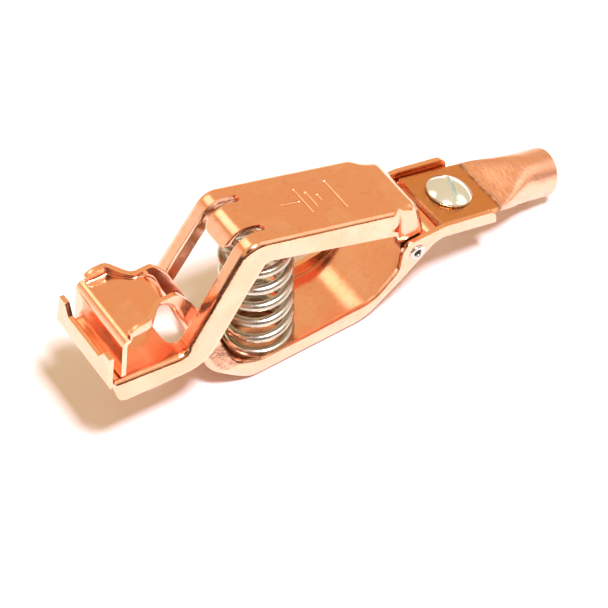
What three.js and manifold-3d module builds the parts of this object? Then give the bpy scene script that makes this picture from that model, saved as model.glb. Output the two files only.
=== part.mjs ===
// Ground clamp: a copper spring clip whose two stamped levers cross at the neck.
// Millimetres, +Z up, +X towards the cable, -X towards the jaws, mirrored about Y = 0.
// The origin is under the spring, on the flat of the bottom lever that the clip rests on.
import * as THREE from 'three';
import { mergeVertices } from 'three/addons/utils/BufferGeometryUtils.js';
import Module from 'manifold-3d';

const wasm = await Module();
wasm.setup();

// Driving dimensions
const sheet = 1.15;                 // copper sheet of both levers
const gap = 0.2;                    // air between pieces that touch
const turningFit = 0.05;            // radial clearance of the eyelets in their holes
const earClearance = 0.35;          // between the ears and the tail that holds them
const neckClearance = 0.85;         // between the neck and the edges of the window
const coilClearance = 0.3;          // between the coil and the belly's walls
const arcStep = Math.PI / 12;
const widest = 16;                  // wider than any piece on either side of the middle

const pivot = { x: 35.8, z: 15.6, shankRadius: 1.25, rimRadius: 2.0, boreRadius: 0.8 };
pivot.holeRadius = pivot.shankRadius + turningFit;

const screw = { headRadius: 5.4, headHeight: 2.5, shankRadius: 2.4 };
screw.slot = { width: 1.15, depth: 1.2, turn: -21.5 };
const washer = { outerRadius: 4.2, innerRadius: screw.shankRadius + 0.25, thickness: 1.1, split: 0.8 };
const nut = { acrossFlats: 8, height: 3.6, holeRadius: screw.shankRadius + 0.1 };

const bottomLever = {
  bellyHalfWidth: 9.8,
  tailHalfWidth: 10.4,
  neckHalfWidth: 5.3,
  jawHalfWidth: 10.0,
  jawTop: 33.45,
  platformPitch: 15,                // degrees down towards the cable
  tailEnd: 57.8,
  tailEndHeight: 11.3,
  screwX: 50.9,                     // where the screw's axis leaves the underside
  screwHoleRadius: screw.shankRadius + gap,
};

const topLever = {
  platePitch: 18.5,                 // degrees down towards the cable
  plateHeight: 42.7,                // at plateX, on the upper face
  plateX: -4,
  plateEnd: 38.2,
  halfWidth: 10.0,
  jawHalfWidth: 10.75,
  earHalfWidth: bottomLever.tailHalfWidth - sheet - earClearance,
  earRadius: 2.35,
  rearDepth: 7.05,                  // of the flanges under the plate, at the ears and at the legs
  frontDepth: 5.6,
  windowHalfWidth: bottomLever.neckHalfWidth + neckClearance,
  tabHalfWidth: 3.95,
  tabTip: -10.4,
  slotEnd: -0.8,
  toothWidth: 3.1,
  notchDepth: 2.6,
};

const coil = {
  turns: 7.8,
  wireRadius: 1.1,
  topTilt: 0.11,
  groundTurns: 0.8,                 // at each end, wound close and ground level
  groundShare: 0.2,                 // of the wire's radius, ground away
  groundRise: 0.72,                 // of the wire's radius, over the ground turns
};
coil.meanRadius = bottomLever.bellyHalfWidth - sheet - coil.wireRadius - coilClearance;

const lug = {
  palmStart: -8.0,                  // along the palm, from the screw's axis
  crease: 9.2,
  roundFrom: 22,
  mouth: 28.5,
  palmHalfWidth: bottomLever.tailHalfWidth - sheet - 0.75,
  palmThickness: 1.7,
  barrelRadius: 5.85,
  wall: 0.95,
  barrelDrop: 0.65,
};

const copperColour = 0xd9884f;
const steelColour = 0xb9bab2;

// ---------------------------------------------------------------- helpers

const radians = THREE.MathUtils.degToRad;

function toSolid(geometry) {
  const bare = geometry.clone();
  bare.deleteAttribute('normal');
  bare.deleteAttribute('uv');
  const merged = mergeVertices(bare, 1e-5);
  return new wasm.Manifold(new wasm.Mesh({
    numProp: 3,
    vertProperties: Float32Array.from(merged.attributes.position.array),
    triVerts: Uint32Array.from(merged.index.array),
  }));
}

function toGeometry(solid) {
  const mesh = solid.getMesh();
  const geometry = new THREE.BufferGeometry();
  geometry.setAttribute('position', new THREE.BufferAttribute(mesh.vertProperties, 3));
  geometry.setIndex(new THREE.BufferAttribute(mesh.triVerts, 1));
  geometry.computeVertexNormals();
  return geometry;
}

// A line through corners [x, y, radius], each corner rounded with its radius.
function bentPath(corners) {
  const points = [];
  corners.forEach(([x, y, radius = 0], i) => {
    const corner = new THREE.Vector2(x, y);
    if (radius === 0) {
      points.push(corner);
      return;
    }
    const back = new THREE.Vector2(corners[i - 1][0], corners[i - 1][1]).sub(corner).normalize();
    const on = new THREE.Vector2(corners[i + 1][0], corners[i + 1][1]).sub(corner).normalize();
    const half = Math.acos(back.dot(on)) / 2;
    const centre = back.clone().add(on).setLength(radius / Math.sin(half)).add(corner);
    const start = back.clone().multiplyScalar(radius / Math.tan(half)).add(corner);
    const turn = (Math.PI - 2 * half) * -Math.sign(back.cross(on));
    const steps = Math.max(2, Math.ceil(Math.abs(turn) / arcStep));
    for (let step = 0; step <= steps; step += 1) {
      points.push(start.clone().rotateAround(centre, (turn * step) / steps));
    }
  });
  return points;
}

// The same line moved sideways: to its left for a positive distance.
function besidePath(points, distance) {
  return points.map((point, i) => {
    const before = points[Math.max(i - 1, 0)];
    const after = points[Math.min(i + 1, points.length - 1)];
    const arrive = (i > 0 ? point.clone().sub(before) : after.clone().sub(point)).normalize();
    const leave = (i < points.length - 1 ? after.clone().sub(point) : arrive.clone()).normalize();
    const along = arrive.clone().add(leave).normalize();
    const reach = distance / along.dot(leave);
    return new THREE.Vector2(point.x - along.y * reach, point.y + along.x * reach);
  });
}

const closedBetween = (one, other) => [...one, ...[...other].reverse()];

const plain = { bevelEnabled: false };
const thickened = (points, depth) => new THREE.ExtrudeGeometry(new THREE.Shape(points), { depth, ...plain });

// A side view (x, z) given width along Y.
function acrossY(points, from, to) {
  return toSolid(thickened(points, to - from).rotateX(Math.PI / 2).translate(0, to, 0));
}

// A plan view (x, y) given height along Z.
function alongZ(points, from, to) {
  return toSolid(thickened(points, to - from).translate(0, 0, from));
}

// A front view (y, z) given length along X, rising with X by the given slope from x = foot.
function alongX(points, from, to, slope, foot) {
  const geometry = thickened(points, to - from);
  geometry.rotateX(Math.PI / 2).rotateZ(Math.PI / 2).translate(from - foot, 0, 0);
  geometry.applyMatrix4(new THREE.Matrix4().makeShear(0, slope, 0, 0, 0, 0));
  return toSolid(geometry.translate(foot, 0, 0));
}

// The top of the plate, and the top of the platform's underside, at a distance along X.
const plateFall = Math.tan(radians(topLever.platePitch));
const plateZ = (x) => topLever.plateHeight - plateFall * (x - topLever.plateX);
const platformFall = Math.tan(radians(bottomLever.platformPitch));
const platformZ = (x) => bottomLever.tailEndHeight + platformFall * (bottomLever.tailEnd - x);

const mirrored = (points) => points.map((point) => new THREE.Vector2(point.x, -point.y));

function pinAcross(x, z, radius, from, to) {
  const geometry = new THREE.CylinderGeometry(radius, radius, to - from, 32);
  return toSolid(geometry.translate(x, (from + to) / 2, z));
}

// A pressed channel: a web that follows the side view and two flanges that follow the plan.
// A shoulder narrows it where it gives one: what lies outside it, and the wall that replaces it.
function channel({ web, flange, halfPlan, low, high, shoulder }) {
  let whole = alongZ(closedBetween(halfPlan, mirrored(halfPlan)), low, high);
  let wall = alongZ(closedBetween(halfPlan, besidePath(halfPlan, sheet)), low, high);
  if (shoulder) {
    wall = wall.subtract(shoulder.outside).add(shoulder.wall.intersect(whole));
    whole = whole.subtract(shoulder.outside).subtract(shoulder.outside.mirror([0, 1, 0]));
  }
  const walls = wall.add(wall.mirror([0, 1, 0]));
  const webSolid = acrossY(web, -widest, widest).intersect(whole);
  return webSolid.add(acrossY(flange, -widest, widest).intersect(walls));
}

// ---------------------------------------------------------------- top lever

function buildTopLever() {
  const lever = topLever;
  const rear = [lever.plateEnd, plateZ(lever.plateEnd) - 2.4];
  const overPlate = [rear, [36.3, plateZ(36.3) - 0.35, 3], [31.5, plateZ(31.5), 9],
    [-7.05, plateZ(-7.05), 5], [-24.1, 20.0, 3.2]];

  // The upper face of the web: plate, legs, jaw floor, and the inner face of the lip.
  const upper = bentPath([...overPlate, [-42.5, 22.7, 1.3], [-41.3, 30.7]]);
  const web = closedBetween(upper, besidePath(upper, sheet));

  // The lower edge of the flanges, from the ear round the pivot to the front of the jaw.
  const ear = lever.earRadius;
  const lower = bentPath([
    rear, [pivot.x + ear + 0.4, pivot.z + 6, 4],
    [pivot.x + ear, pivot.z - ear, 2.3], [pivot.x - ear, pivot.z - ear, 2.3],
    [30.2, plateZ(30.2) - lever.rearDepth, 0.8], [-3.4, plateZ(-3.4) - lever.frontDepth, 1.6],
    [-19.4, 14.5, 8], [-41.1, 16.2, 2.6], [-42.3, 22.4],
  ]);
  const outer = bentPath([...overPlate, [-42.3, 22.4]]);
  const flange = closedBetween(outer, lower.slice(1, -1));

  // Half of the plan: the walls step in at the ears and spread at the jaw.
  const halfPlan = bentPath([
    [lever.plateEnd + 1, lever.earHalfWidth], [32.4, lever.earHalfWidth, 1.6],
    [30.2, lever.halfWidth, 1.6], [-8, lever.halfWidth, 20], [-25, lever.jawHalfWidth, 20],
    [-45, lever.jawHalfWidth],
  ]);
  const above = lever.plateHeight + 5;
  let body = channel({ web, flange, halfPlan, low: 8, high: above });

  // The window between the legs, with a slot either side of the spring tab.
  const inside = lever.windowHalfWidth;
  const tab = lever.tabHalfWidth;
  const halfWindow = bentPath([
    [lever.tabTip, 0], [lever.tabTip, tab, 1.8], [lever.slotEnd, tab, 0.7],
    [lever.slotEnd, inside - 0.2, 0.7], [-9, inside - 0.2, 8], [-16, inside + 0.35, 8],
    [-26.2, inside + 0.35, 3], [-26.2, 0],
  ]);
  body = body.subtract(alongZ(closedBetween(halfWindow, mirrored(halfWindow).slice(1, -1)), 16.5, above));

  // The notch between the two teeth of the lip.
  const half = lever.jawHalfWidth - lever.toothWidth;
  const notch = thickened([
    new THREE.Vector2(-half - 0.6, 0.2), new THREE.Vector2(half + 0.6, 0.2),
    new THREE.Vector2(half - 1.4, -lever.notchDepth), new THREE.Vector2(1.4 - half, -lever.notchDepth),
  ], 4);
  body = body.subtract(toSolid(notch.rotateX(Math.PI / 2).rotateZ(Math.PI / 2).translate(-44, 0, 30.8)));

  // A small three-cornered relief at the foot of each step.
  const relief = [[28.8, 5.1], [31.3, 3.6], [31.0, 6.5]]
    .map(([x, drop]) => new THREE.Vector2(x, plateZ(x) - drop));
  body = body.subtract(acrossY(relief, -11, -8)).subtract(acrossY(relief, 8, 11));

  body = body.subtract(pinAcross(pivot.x, pivot.z, pivot.holeRadius, -widest, widest));
  return body.subtract(groundMark());
}

// An earth symbol and a plain bar, pressed into the plate.
function groundMark() {
  const depth = 0.25;
  const strokes = [
    [9.2, 0, 5.2, 0.9], [12.2, 0, 0.9, 8], [14.2, 0, 0.9, 5], [16.2, 0, 0.9, 2.2], [20.6, 0, 1.1, 9.5],
  ];
  const cuts = strokes.map(([x, y, length, width]) => {
    const bar = new THREE.BoxGeometry(length, width, 1).translate(0, 0, 0.5 - depth);
    return toSolid(bar.rotateY(radians(topLever.platePitch)).translate(x, y, plateZ(x)));
  });
  return cuts.reduce((all, cut) => all.add(cut));
}

// ---------------------------------------------------------------- bottom lever

function buildBottomLever() {
  const lever = bottomLever;
  const plateUnder = lever.jawTop - sheet;
  const tail = [lever.tailEnd, lever.tailEndHeight];
  const under = [
    tail, [41.85, platformZ(41.85), 4.5], [22.4, 0, 12], [-8.2, 0, 7], [-16.9, 6.0, 6],
    [-24.9, plateUnder, 4],
  ];
  const underFace = bentPath([...under, [-37.6, plateUnder, 0.5], [-38.6, 22.8]]);
  const web = closedBetween(underFace, besidePath(underFace, -sheet));

  // The free edge of the flanges, from the cable end over the pivot to the upper jaw.
  const rim = bentPath([
    tail, [lever.tailEnd - 0.2, lever.tailEndHeight + 4.6, 2.6], [43.5, 19.5, 8], [32.2, 19.5, 2.8],
    [31.2, 12.0, 4], [24.5, 5.4, 9], [10, 4.8, 9], [-5.2, 4.8, 4], [-11.2, 7.0, 4], [-13.6, 14, 6],
    [-19.4, 29.2, 6],
    [-22.7, 34.2, 2.4], [-28.3, 34.2, 2.5], [-31.5, 35.8, 2.5], [-35.2, 35.8, 3],
    [-38.7, lever.jawTop - 0.1],
  ]);
  const flange = closedBetween(bentPath([...under, [-37.6, plateUnder]]), rim.slice(1));

  // Half of the plan: widest at the tail, narrow at the neck, wide again at the jaw.
  const nose = new THREE.EllipseCurve(-6, lever.neckHalfWidth, 12.3,
    lever.bellyHalfWidth - lever.neckHalfWidth, Math.PI / 2, Math.PI).getPoints(12);
  const halfPlan = [
    ...bentPath([[59, lever.tailHalfWidth], [32, lever.tailHalfWidth, 20], [18, lever.bellyHalfWidth, 20],
      [-4, lever.bellyHalfWidth]]),
    ...nose,
    ...bentPath([[-20, lever.neckHalfWidth], [-27.4, lever.neckHalfWidth, 2.2],
      [-31.4, lever.jawHalfWidth - 0.35, 3], [-41, lever.jawHalfWidth]]),
  ];

  // The nose narrows upwards too, so that it passes between the legs as the jaws open.
  const half = bentPath([[lever.bellyHalfWidth + 0.05, -6], [lever.bellyHalfWidth + 0.05, 1.5, 4],
    [lever.neckHalfWidth, 10.5, 3], [lever.neckHalfWidth, 40]]);
  const beyond = [new THREE.Vector2(widest, -6), new THREE.Vector2(widest, 40)];
  const shoulder = {
    outside: alongX(closedBetween(half, beyond), -19, -8, 0.5, -18),
    wall: alongX(closedBetween(half, besidePath(half, sheet)), -19, -8, 0.5, -18),
  };
  const body = channel({ web, flange, halfPlan, low: -2, high: 40, shoulder });
  const screwHole = new THREE.CylinderGeometry(lever.screwHoleRadius, lever.screwHoleRadius, 8, 32);
  screwHole.rotateX(Math.PI / 2).rotateY(radians(lever.platformPitch));
  screwHole.translate(lever.screwX, 0, platformZ(lever.screwX));
  const pivotHole = pinAcross(pivot.x, pivot.z, pivot.holeRadius, -widest, widest);
  return body.subtract(pivotHole).subtract(toSolid(screwHole));
}

// ---------------------------------------------------------------- spring and eyelets

// The wire's centre line: level where it stands, leaning with the plate at its top.
// Its top end clears the plate's under face at the coil's edge nearest the cable.
const coilEdge = coil.meanRadius + coil.wireRadius;
const coilTop = plateZ(coilEdge) - sheet / Math.cos(radians(topLever.platePitch)) + coil.topTilt * coilEdge;

class SpringLine extends THREE.Curve {
  getPoint(t, target = new THREE.Vector3()) {
    const { turns, wireRadius, groundTurns, groundShare, groundRise, topTilt, meanRadius } = coil;
    const lift = wireRadius * (1 - groundShare);
    const seat = sheet + gap + lift;
    const height = coilTop - lift - 1.5 * gap - seat;
    const end = groundTurns / turns;
    const flat = (wireRadius * groundRise * (Math.min(t, end) + Math.max(t - 1 + end, 0))) / end;
    const rise = THREE.MathUtils.clamp((t - end) / (1 - 2 * end), 0, 1);
    const angle = 2 * Math.PI * turns * t;
    const x = meanRadius * Math.cos(angle);
    const climb = flat + rise * (height - 2 * wireRadius * groundRise);
    return target.set(x, meanRadius * Math.sin(angle), seat + climb - topTilt * x * t);
  }
}

function buildSpring() {
  const section = new THREE.Shape();
  section.absarc(0, 0, coil.wireRadius, 0, 2 * Math.PI);
  const wire = new THREE.ExtrudeGeometry(section, {
    extrudePath: new SpringLine(), steps: Math.round(coil.turns * 16), curveSegments: 4, bevelEnabled: false,
  });
  const ground = new THREE.BoxGeometry(30, 30, 60).translate(0, 0, 30 + sheet + gap);
  return toSolid(wire).intersect(toSolid(ground));
}

// A hollow rivet: rolled rims either side of a tubular shank.
function buildEyelet(side) {
  const outside = bottomLever.tailHalfWidth + 0.05;
  const inside = topLever.earHalfWidth - sheet - 0.05;
  const { boreRadius, shankRadius, rimRadius } = pivot;
  const profile = [
    [boreRadius, inside - 0.2], [boreRadius + 0.2, inside - 0.4], [rimRadius - 0.3, inside - 0.4],
    [rimRadius, inside - 0.2], [rimRadius, inside], [shankRadius, inside], [shankRadius, outside],
    [rimRadius, outside], [rimRadius, outside + 0.2], [rimRadius - 0.35, outside + 0.45],
    [boreRadius + 0.3, outside + 0.45], [boreRadius, outside + 0.15], [boreRadius, inside - 0.2],
  ].map(([radius, along]) => new THREE.Vector2(radius, along));
  const ring = toSolid(new THREE.LatheGeometry(profile, 20)).translate([pivot.x, 0, pivot.z]);
  return side > 0 ? ring : ring.mirror([0, 1, 0]);
}

// ---------------------------------------------------------------- cable end
// These pieces are made in the platform's own frame: x along the palm from the screw's
// axis, z square to the platform from its underside.

const palmBottom = sheet + gap;
const palmTop = palmBottom + lug.palmThickness;

function buildScrew() {
  const { headRadius, headHeight, shankRadius } = screw;
  const seat = palmTop + gap;
  const end = -gap * 2 - washer.thickness - nut.height - 1;
  const crownRadius = (headRadius ** 2 + (headHeight - 0.7) ** 2) / (2 * (headHeight - 0.7));
  const crown = [];
  for (let step = 0; step <= 6; step += 1) {
    const radius = headRadius * (1 - step / 6);
    const drop = crownRadius - Math.sqrt(crownRadius ** 2 - radius ** 2);
    crown.push([radius, seat + headHeight - drop]);
  }
  const profile = [[0, end], [shankRadius - 0.4, end], [shankRadius, end + 0.5], [shankRadius, seat],
    [headRadius - 0.4, seat], [headRadius, seat + 0.35], ...crown];
  const turned = new THREE.LatheGeometry(profile.map(([r, z]) => new THREE.Vector2(r, z)), 32);
  const slot = new THREE.BoxGeometry(screw.slot.width, 14, 4)
    .translate(0, 0, seat + headHeight - screw.slot.depth + 2).rotateZ(radians(screw.slot.turn));
  return toSolid(turned.rotateX(Math.PI / 2)).subtract(toSolid(slot));
}

function buildWasher() {
  const { outerRadius, innerRadius, thickness, split } = washer;
  const profile = [[innerRadius, 0], [outerRadius, 0], [outerRadius, thickness], [innerRadius, thickness],
    [innerRadius, 0]].map(([r, z]) => new THREE.Vector2(r, z - gap - thickness));
  const ring = toSolid(new THREE.LatheGeometry(profile, 40).rotateX(Math.PI / 2));
  const cut = new THREE.BoxGeometry(split, 6, 4).rotateY(radians(25));
  cut.translate(0, -outerRadius, -gap - thickness / 2);
  return ring.subtract(toSolid(cut));
}

function buildNut() {
  const top = -2 * gap - washer.thickness;
  const corner = nut.acrossFlats / Math.sqrt(3);
  const hexagon = new THREE.CylinderGeometry(corner, corner, nut.height, 6);
  const bevel = new THREE.LatheGeometry([
    [0, -nut.height / 2], [nut.acrossFlats / 2, -nut.height / 2], [corner, -nut.height / 2 + 0.5],
    [corner, nut.height / 2 - 0.5], [nut.acrossFlats / 2, nut.height / 2], [0, nut.height / 2],
  ].map(([r, z]) => new THREE.Vector2(r, z)), 36);
  const hole = new THREE.CylinderGeometry(nut.holeRadius, nut.holeRadius, nut.height + 2, 36);
  const solid = toSolid(hexagon).intersect(toSolid(bevel)).subtract(toSolid(hole));
  return solid.rotate([90, 0, 0]).translate([0, 0, top - nut.height / 2]);
}

// A tube pressed flat at one end: each cross-section goes from flat to round along x.
function lugShape(from, to, inset, steps) {
  const skin = new THREE.CylinderGeometry(1, 1, to - from, 32, steps).rotateZ(-Math.PI / 2);
  const position = skin.attributes.position;
  for (let i = 0; i < position.count; i += 1) {
    const x = position.getX(i) + (from + to) / 2;
    const spread = Math.hypot(position.getY(i), position.getZ(i));
    const angle = Math.atan2(position.getZ(i), position.getY(i));
    const open = THREE.MathUtils.smoothstep(x, lug.crease, lug.roundFrom);
    const taper = THREE.MathUtils.lerp(lug.palmHalfWidth, lug.palmHalfWidth - 0.4,
      (x - lug.palmStart) / (lug.crease - lug.palmStart));
    const halfWidth = THREE.MathUtils.lerp(taper, lug.barrelRadius, open) - inset;
    const halfHeight = THREE.MathUtils.lerp(lug.palmThickness / 2, lug.barrelRadius, open ** 0.8) - inset;
    const square = THREE.MathUtils.lerp(0.22, 1, open ** 0.6);
    const round = (value) => (Math.abs(value) < 1e-6 ? 0 : Math.sign(value) * Math.abs(value) ** square);
    const centre = palmBottom + lug.palmThickness / 2 - lug.barrelDrop * open;
    position.setXYZ(i, x, spread * halfWidth * round(Math.cos(angle)),
      centre + spread * halfHeight * round(Math.sin(angle)));
  }
  return toSolid(skin);
}

function buildLug() {
  const outside = lugShape(lug.palmStart, lug.mouth, 0, 18);
  const bore = lugShape(lug.crease + 3.2, lug.mouth + 1, lug.wall, 10);
  const hole = new THREE.CylinderGeometry(bottomLever.screwHoleRadius, bottomLever.screwHoleRadius, 6, 32);
  return outside.subtract(bore).subtract(toSolid(hole.rotateX(Math.PI / 2).translate(0, 0, palmBottom)));
}

// ---------------------------------------------------------------- assembly

const group = new THREE.Group();
const platform = new THREE.Group();
platform.position.set(bottomLever.screwX, 0, platformZ(bottomLever.screwX));
platform.rotation.y = radians(bottomLever.platformPitch);
group.add(platform);

function addPiece(parent, name, solid, colour, roughness) {
  const material = new THREE.MeshStandardMaterial({ color: colour, roughness, metalness: 1 });
  const mesh = new THREE.Mesh(toGeometry(solid), material);
  mesh.name = name;
  parent.add(mesh);
}

addPiece(group, 'bottom_lever', buildBottomLever(), copperColour, 0.22);
addPiece(group, 'top_lever', buildTopLever(), copperColour, 0.22);
addPiece(group, 'spring', buildSpring(), steelColour, 0.28);
addPiece(group, 'pivot_eyelet_right', buildEyelet(-1), steelColour, 0.25);
addPiece(group, 'pivot_eyelet_left', buildEyelet(1), steelColour, 0.25);
addPiece(platform, 'cable_screw', buildScrew(), 0xd4d6d4, 0.12);
addPiece(platform, 'lock_washer', buildWasher(), steelColour, 0.35);
addPiece(platform, 'screw_nut', buildNut(), steelColour, 0.3);
addPiece(platform, 'cable_lug', buildLug(), 0xc98256, 0.4);

export default group;
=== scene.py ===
import math
import bmesh
import bpy
import numpy as np
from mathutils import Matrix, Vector


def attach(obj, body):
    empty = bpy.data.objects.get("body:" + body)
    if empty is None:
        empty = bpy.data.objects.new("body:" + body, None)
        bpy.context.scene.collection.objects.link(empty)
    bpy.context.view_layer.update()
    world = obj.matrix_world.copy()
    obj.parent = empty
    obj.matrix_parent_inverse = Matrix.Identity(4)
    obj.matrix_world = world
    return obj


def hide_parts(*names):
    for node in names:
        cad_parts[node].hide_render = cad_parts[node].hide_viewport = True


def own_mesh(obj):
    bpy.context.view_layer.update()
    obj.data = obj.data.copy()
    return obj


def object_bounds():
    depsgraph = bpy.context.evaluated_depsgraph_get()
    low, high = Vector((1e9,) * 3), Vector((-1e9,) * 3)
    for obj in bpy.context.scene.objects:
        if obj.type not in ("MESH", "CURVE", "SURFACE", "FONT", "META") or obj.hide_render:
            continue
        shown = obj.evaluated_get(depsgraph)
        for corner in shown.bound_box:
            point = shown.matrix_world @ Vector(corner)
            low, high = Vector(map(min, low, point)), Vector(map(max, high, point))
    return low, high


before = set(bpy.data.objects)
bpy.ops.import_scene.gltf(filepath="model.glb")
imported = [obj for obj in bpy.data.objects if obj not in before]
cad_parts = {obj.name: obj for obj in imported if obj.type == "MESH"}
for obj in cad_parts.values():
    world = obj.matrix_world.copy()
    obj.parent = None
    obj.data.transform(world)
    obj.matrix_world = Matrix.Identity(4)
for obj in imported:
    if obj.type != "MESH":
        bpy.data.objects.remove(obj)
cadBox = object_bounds()
mm = 0.001
sheet = 1.15      # copper sheet of both levers, mm
print("frame loaded")


def newPiece(name, points, faces):
    # points in metres
    mesh = bpy.data.meshes.new(name)
    mesh.from_pydata(points, [], faces)
    piece = bpy.data.objects.new(name, mesh)
    bpy.context.scene.collection.objects.link(piece)
    return piece


view = {
    "target": (12.5, 0.0, 2.7),            # mm
    "back": (-0.3539, -0.5366, 0.7660),    # from the target towards the camera
    "distance": 550.0,
    "lens": 144.6,
}


def buildCamera():
    camera = bpy.data.cameras.new("camera")
    camera.lens = view["lens"]
    camera.clip_start = 0.01
    seat = bpy.data.objects.new("camera", camera)
    bpy.context.scene.collection.objects.link(seat)
    back = Vector(view["back"]).normalized()
    seat.location = (Vector(view["target"]) + back * view["distance"]) * mm
    seat.rotation_euler = (-back).to_track_quat("-Z", "Y").to_euler()
    bpy.context.scene.camera = seat


# each edge is the pair of cosines between which its patch fades
lightBox = {
    "room": (0.87, 0.58, 0.31),      # the warm surroundings that the metal mirrors
    "roomDark": 0.05,                # the share of it left in the dark patches
    "paleSide": (1.15, 0.98, 0.80),  # brighter low down towards the jaws
    "paleTop": (0.34, 0.52),
    "paleEdge": (0.35, 0.75),
    "window": (2.1, 1.8, 1.35),
    "windowAt": (-0.237, 0.537, 0.810),
    "windowEdge": (0.95, 0.985),
    "softBox": (1.35, 1.2, 1.0),
    "softBoxAt": (0.754, -0.302, 0.583),
    "softBoxEdge": (0.93, 0.97),
    "lensEdge": (0.90, 0.97),        # the dark patch round the lens
    "bandEdge": (0.02, 0.22),        # the dark band over the near horizon
    "bandTop": (0.30, 0.50),
    "keyPower": 4.7,
    "keySize": 0.11,
    "keyTint": (1.0, 0.92, 1.05),
    "keyFrom": (0.02, -0.20, 0.54),
    "floorHalf": 3.0,
    "floorGap": 0.0002,
    "floorWhite": 0.86,
    "floorRough": 0.7,
    "floorGlow": (0.18, 0.40),       # m from the middle, from no glow to full white
}


def buildWorld():
    # a warm room in layers, mirrored by the metal; the camera itself sees plain white
    world = bpy.data.worlds.new("warmRoom")
    bpy.context.scene.world = world
    world.use_nodes = True
    nodes, links = world.node_tree.nodes, world.node_tree.links
    nodes.clear()

    def ramp(value, edge, falling=False):
        node = nodes.new("ShaderNodeMapRange")
        node.interpolation_type = "SMOOTHSTEP"
        links.new(value, node.inputs["Value"])
        node.inputs["From Min"].default_value, node.inputs["From Max"].default_value = edge
        if falling:
            node.inputs["To Min"].default_value, node.inputs["To Max"].default_value = 1, 0
        return node.outputs["Result"]

    def both(one, two, operation):
        node = nodes.new("ShaderNodeMath")
        node.operation = operation
        links.new(one, node.inputs[0])
        links.new(two, node.inputs[1])
        return node.outputs[0]

    def aimed(direction):
        node = nodes.new("ShaderNodeVectorMath")
        node.operation = "DOT_PRODUCT"
        links.new(coordinate, node.inputs[0])
        node.inputs[1].default_value = direction
        return node.outputs["Value"]

    coordinate = nodes.new("ShaderNodeTexCoord").outputs["Generated"]
    lens = ramp(aimed(view["back"]), lightBox["lensEdge"])
    near = ramp(aimed((*view["back"][:2], 0)), lightBox["bandEdge"])
    band = both(near, ramp(aimed((0, 0, 1)), lightBox["bandTop"], falling=True), "MULTIPLY")
    dark = both(lens, band, "MAXIMUM")
    low = ramp(aimed((0, 0, 1)), lightBox["paleTop"], falling=True)
    pale = both(low, ramp(aimed((-1, 0, 0)), lightBox["paleEdge"]), "MULTIPLY")
    window = ramp(aimed(lightBox["windowAt"]), lightBox["windowEdge"])
    softBox = ramp(aimed(lightBox["softBoxAt"]), lightBox["softBoxEdge"])
    darkRoom = [lightBox["roomDark"] * c for c in lightBox["room"]]
    layers = None
    for mask, colour in ((pale, lightBox["paleSide"]), (window, lightBox["window"]),
                         (dark, darkRoom), (softBox, lightBox["softBox"])):
        mix = nodes.new("ShaderNodeMix")
        mix.data_type = "RGBA"
        links.new(mask, mix.inputs["Factor"])
        mix.inputs["A"].default_value = (*lightBox["room"], 1)
        if layers is not None:
            links.new(layers, mix.inputs["A"])
        mix.inputs["B"].default_value = (*colour, 1)
        layers = mix.outputs["Result"]
    room, backdrop = nodes.new("ShaderNodeBackground"), nodes.new("ShaderNodeBackground")
    links.new(layers, room.inputs["Color"])
    backdrop.inputs["Color"].default_value = (1, 1, 1, 1)
    seen = nodes.new("ShaderNodeMixShader")
    links.new(nodes.new("ShaderNodeLightPath").outputs["Is Camera Ray"], seen.inputs[0])
    links.new(room.outputs[0], seen.inputs[1])
    links.new(backdrop.outputs[0], seen.inputs[2])
    links.new(seen.outputs[0], nodes.new("ShaderNodeOutputWorld").inputs["Surface"])


def buildKeyLight():
    target = Vector(view["target"]) * mm
    lamp = bpy.data.lights.new("keyLight", "AREA")
    lamp.energy = lightBox["keyPower"]
    lamp.size = lightBox["keySize"]
    lamp.color = lightBox["keyTint"]
    key = bpy.data.objects.new("keyLight", lamp)
    bpy.context.scene.collection.objects.link(key)
    key.location = target + Vector(lightBox["keyFrom"])
    key.rotation_euler = (target - key.location).to_track_quat("-Z", "Y").to_euler()


def buildFloor():
    # white paper that glows further out, so that it runs into the backdrop
    h = lightBox["floorHalf"]
    floor = newPiece("floor", [(-h, -h, 0), (h, -h, 0), (h, h, 0), (-h, h, 0)], [(0, 1, 2, 3)])
    floor.location.z = cadBox[0][2] - lightBox["floorGap"]
    paper = bpy.data.materials.new("whitePaper")
    paper.use_nodes = True
    nodes, links = paper.node_tree.nodes, paper.node_tree.links
    shader = nodes["Principled BSDF"]
    shader.inputs["Base Color"].default_value = (lightBox["floorWhite"],) * 3 + (1,)
    shader.inputs["Roughness"].default_value = lightBox["floorRough"]
    reach = nodes.new("ShaderNodeVectorMath")
    reach.operation = "LENGTH"
    links.new(nodes.new("ShaderNodeTexCoord").outputs["Object"], reach.inputs[0])
    glow = nodes.new("ShaderNodeMapRange")
    glow.inputs["From Min"].default_value, glow.inputs["From Max"].default_value = lightBox["floorGlow"]
    links.new(reach.outputs["Value"], glow.inputs["Value"])
    links.new(glow.outputs["Result"], shader.inputs["Emission Color"])
    shader.inputs["Emission Strength"].default_value = 1.0
    floor.data.materials.append(paper)


bpy.context.scene.view_settings.view_transform = "Standard"
buildCamera()
buildWorld()
buildKeyLight()
buildFloor()
print("camera and light set")


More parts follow.
